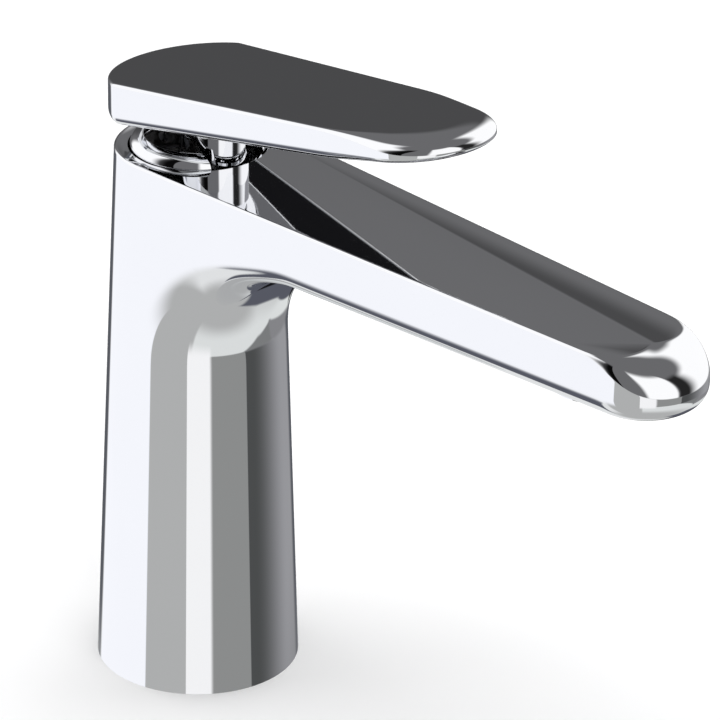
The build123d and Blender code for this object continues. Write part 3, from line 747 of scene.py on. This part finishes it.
def dress(pieces, materials):
    """Gives the new pieces chrome, and each carried-over CAD node the finish of its slot."""
    slot_of = {part["node"]: part["material_slot"] for part in frame["record"]["subparts"]}
    for piece in pieces:
        piece.data.materials.clear()
        piece.data.materials.append(materials["chrome"])
    for name, thing in frame["nodes"].items():
        for index in range(max(1, len(thing.material_slots))):
            finish = materials[slot_of[name]]
            if thing.material_slots:
                thing.material_slots[index].material = finish
            else:
                thing.data.materials.append(finish)


# ---------------------------------------------------------------- studio

LOOK_TURN = radians(46.77)          # how far the camera stands round from looking along +Y
LOOK_DOWN = radians(26.0)
LOOK_ROLL = radians(0.91)
LOOK_DISTANCE = 1.2
LOOK_LENS = 247.2
LOOK_AIM_ALONG, LOOK_AIM_Z = 39.3 * MM, 79.73 * MM

RIGHT = Vector((cos(LOOK_TURN), sin(LOOK_TURN), 0))
NEAR = Vector((sin(LOOK_TURN), -cos(LOOK_TURN), 0))
UP = Vector((0, 0, 1))


def make_camera():
    """The camera at the reference's viewing angle."""
    back = NEAR * cos(LOOK_DOWN) + UP * sin(LOOK_DOWN)
    above = back.cross(RIGHT)
    x_axis = RIGHT * cos(LOOK_ROLL) + above * sin(LOOK_ROLL)
    y_axis = -RIGHT * sin(LOOK_ROLL) + above * cos(LOOK_ROLL)
    place = RIGHT * LOOK_AIM_ALONG + UP * LOOK_AIM_Z + back * LOOK_DISTANCE
    data = bpy.data.cameras.new("camera")
    data.lens = LOOK_LENS
    data.sensor_width = 36
    data.clip_end = 50
    camera = bpy.data.objects.new("camera", data)
    bpy.context.scene.collection.objects.link(camera)
    turn = Matrix((x_axis, y_axis, back)).transposed().to_4x4()
    camera.matrix_world = Matrix.Translation(place) @ turn
    bpy.context.scene.camera = camera


# The studio that the chrome mirrors, painted from back to front: dark walls, tall white panels, and a grey
# floor that starts below the horizon. Each row is a colour, its extent round, its extent in elevation, and
# the softness of its four edges, all in degrees. Round is 0 towards the camera's side, positive to its right.
# A sixth number makes a row lean: its heights hold at its first edge and climb by that much per degree.

ROOM = (0.15, 0.15, 0.155)
BACKDROP = (0.97, 0.97, 0.97)        # what the camera sees behind everything
FLOOR_LINE = -28
PANEL_FOOT = -16

PANELS = [
    # (colour, (from, to), (lowest, highest), (soft from, soft to), (soft low, soft high), lean)
    ((0.07, 0.07, 0.072), (155, 205), (-12, 19), (8, 8), (4, 6)),
    # grey floor with a bright part at each side, and dark furniture at the back
    ((0.455, 0.46, 0.455), (-400, 400), (-100, FLOOR_LINE), (1, 1), (1, 1.5)),
    ((0.80, 0.81, 0.81), (-195, -80), (-66, FLOOR_LINE), (8, 6), (9, 1)),
    ((0.75, 0.77, 0.76), (-7, 179), (-54, FLOOR_LINE), (2, 1), (11, 1)),
    ((0.21, 0.215, 0.215), (52, 116), (-25, -10), (1, 1), (1.2, 2), -0.28),
    ((0.25, 0.25, 0.26), (112, 174), (-43, FLOOR_LINE), (3, 3), (1.2, 2), 0.25),
    ((0.10, 0.105, 0.13), (128, 178), (-70, -52), (4, 4), (3, 1), 0.5),
    ((0.10, 0.105, 0.13), (-130, -91), (-69, -57), (3, 3), (1.5, 1), 0.75),
    ((0.008, 0.008, 0.009), (163, 178), (-47, -31), (1.5, 1), (1.5, 1.5)),
    # far edge of the floor, in stripes
    ((0.33, 0.33, 0.345), (65, 172), (FLOOR_LINE, PANEL_FOOT), (0.7, 4), (1.5, 2)),
    ((0.075, 0.078, 0.078), (65, 104), (FLOOR_LINE, PANEL_FOOT), (0.7, 30), (1.5, 2)),
    ((0.28, 0.285, 0.28), (18, 65), (FLOOR_LINE, PANEL_FOOT), (2.5, 0.7), (1, 2)),
    ((0.97, 0.97, 0.97), (-12, 18), (FLOOR_LINE - 6, PANEL_FOOT), (0.7, 2.5), (7, 2)),
    ((0.455, 0.46, 0.455), (-60, -12), (-33, PANEL_FOOT), (0.7, 0.7), (3, 2)),
    ((0.99, 1.0, 1.04), (-146, -60), (-36, PANEL_FOOT), (3, 0.7), (9, 2)),
    ((0.10, 0.105, 0.12), (-205, -149), (FLOOR_LINE - 1, PANEL_FOOT), (6, 3), (1.5, 2)),
    ((0.10, 0.105, 0.12), (170, 205), (FLOOR_LINE, PANEL_FOOT), (4, 6), (1.5, 2)),
    # left panel, with a dark fall-off on its right
    ((0.003, 0.003, 0.003), (-66, -38), (PANEL_FOOT, 66), (16, 0.8), (2, 6)),
    ((1.06, 1.06, 1.07), (-142, -72), (PANEL_FOOT, 62), (6, 10), (2, 5)),
    # panel on the camera's side
    ((1.06, 1.06, 1.06), (4, 57), (PANEL_FOOT, 66), (4, 3), (2, 6)),
    ((0.02, 0.02, 0.02), (60, 88), (PANEL_FOOT, 56), (3, 10), (2, 6)),
    # right panel
    ((1.06, 1.06, 1.06), (92, 168), (PANEL_FOOT, 50), (14, 4), (2, 6)),
]


def make_world():
    """A studio of soft panels, worked out from direction alone."""
    world = bpy.data.worlds.new("studio")
    bpy.context.scene.world = world
    world.use_nodes = True
    graph = Graph(world.node_tree)
    heading = graph.node("ShaderNodeTexCoord").outputs["Generated"]

    def along(axis):
        made = graph.node("ShaderNodeVectorMath", [(0, heading), (1, axis)], operation="DOT_PRODUCT")
        return made.outputs["Value"]

    front, side, height = along(NEAR), along(RIGHT), along(UP)
    to_degrees = 180 / pi
    around = graph.maths("MULTIPLY", graph.maths("ARCTAN2", side, front), to_degrees)
    behind = graph.maths(
        "MULTIPLY",
        graph.maths("ARCTAN2", graph.maths("MULTIPLY", side, -1.0), graph.maths("MULTIPLY", front, -1.0)),
        to_degrees,
    )
    elevation = graph.maths("MULTIPLY", graph.maths("ARCSINE", height), to_degrees)

    def step(value, place, soft, start, end):
        """From the start value to the end value, across a place on the scale."""
        made = graph.node(
            "ShaderNodeMapRange",
            [
                ("Value", value),
                ("From Min", float(place - soft)),
                ("From Max", float(place + soft)),
                ("To Min", start),
                ("To Max", end),
            ],
            interpolation_type="SMOOTHSTEP",
        )
        return made.outputs[0]

    def window(value, extent, soft):
        """1 inside the extent, fading at both ends."""
        return graph.maths(
            "MULTIPLY", step(value, extent[0], soft[0], 0.0, 1.0), step(value, extent[1], soft[1], 1.0, 0.0)
        )

    light = (*ROOM, 1)
    for colour, turns, heights, soft_turns, soft_heights, *lean in PANELS:
        if max(map(abs, turns)) > 180 and turns[1] - turns[0] < 360:
            shift = 180 if turns[0] > 0 else -180
            mask = window(behind, (turns[0] - shift, turns[1] - shift), soft_turns)
        else:
            mask = window(around, turns, soft_turns)
        level = elevation
        if lean:
            climb = graph.maths("MULTIPLY", graph.maths("SUBTRACT", around, float(turns[0])), lean[0])
            level = graph.maths("SUBTRACT", elevation, climb)
        mask = graph.maths("MULTIPLY", mask, window(level, heights, soft_heights))
        layers = [(0, mask), (COLOUR_A, light), (COLOUR_B, (*colour, 1))]
        light = graph.node("ShaderNodeMix", layers, data_type="RGBA").outputs[MIXED_COLOUR]
    studio = graph.node("ShaderNodeBackground", [("Color", light), ("Strength", 1.0)])
    plain = graph.node("ShaderNodeBackground", [("Color", (*BACKDROP, 1)), ("Strength", 1.0)])
    seen = graph.node("ShaderNodeLightPath").outputs["Is Camera Ray"]
    both = graph.node("ShaderNodeMixShader", [(0, seen), (1, studio.outputs[0]), (2, plain.outputs[0])])
    graph.node("ShaderNodeOutputWorld", [("Surface", both.outputs[0])])


def make_floor():
    """A plain pale floor, which the polished metal doesn't mirror."""
    skin = Skin()
    turns = np.linspace(0, 2 * pi, 96, endpoint=False)
    reach = np.array([0.001, 0.5, 2, 8])[:, None]
    rings = np.stack([reach * np.cos(turns), reach * np.sin(turns), 0 * reach * turns], axis=-1)
    grid = skin.add(rings)
    skin.quads(grid, closed=True)
    floor = skin.make("floor")
    floor.data.materials.append(finish_material("pale_floor", *FLOOR_LOOKS))
    floor.visible_glossy = False


def make_lamp():
    """A broad soft lamp overhead, for the floor and the dull materials."""
    data = bpy.data.lights.new("overhead", "AREA")
    data.shape = "DISK"
    data.size = 3
    data.energy = 60
    lamp = bpy.data.objects.new("overhead", data)
    bpy.context.scene.collection.objects.link(lamp)
    lamp.location = (0.05, 0, 2.4)
    lamp.visible_glossy = False


finishes = make_materials()
dress([make_body(), make_lever(), make_dome()], finishes)
make_world()
make_floor()
make_lamp()
make_camera()
bpy.context.scene.view_settings.view_transform = "Standard"
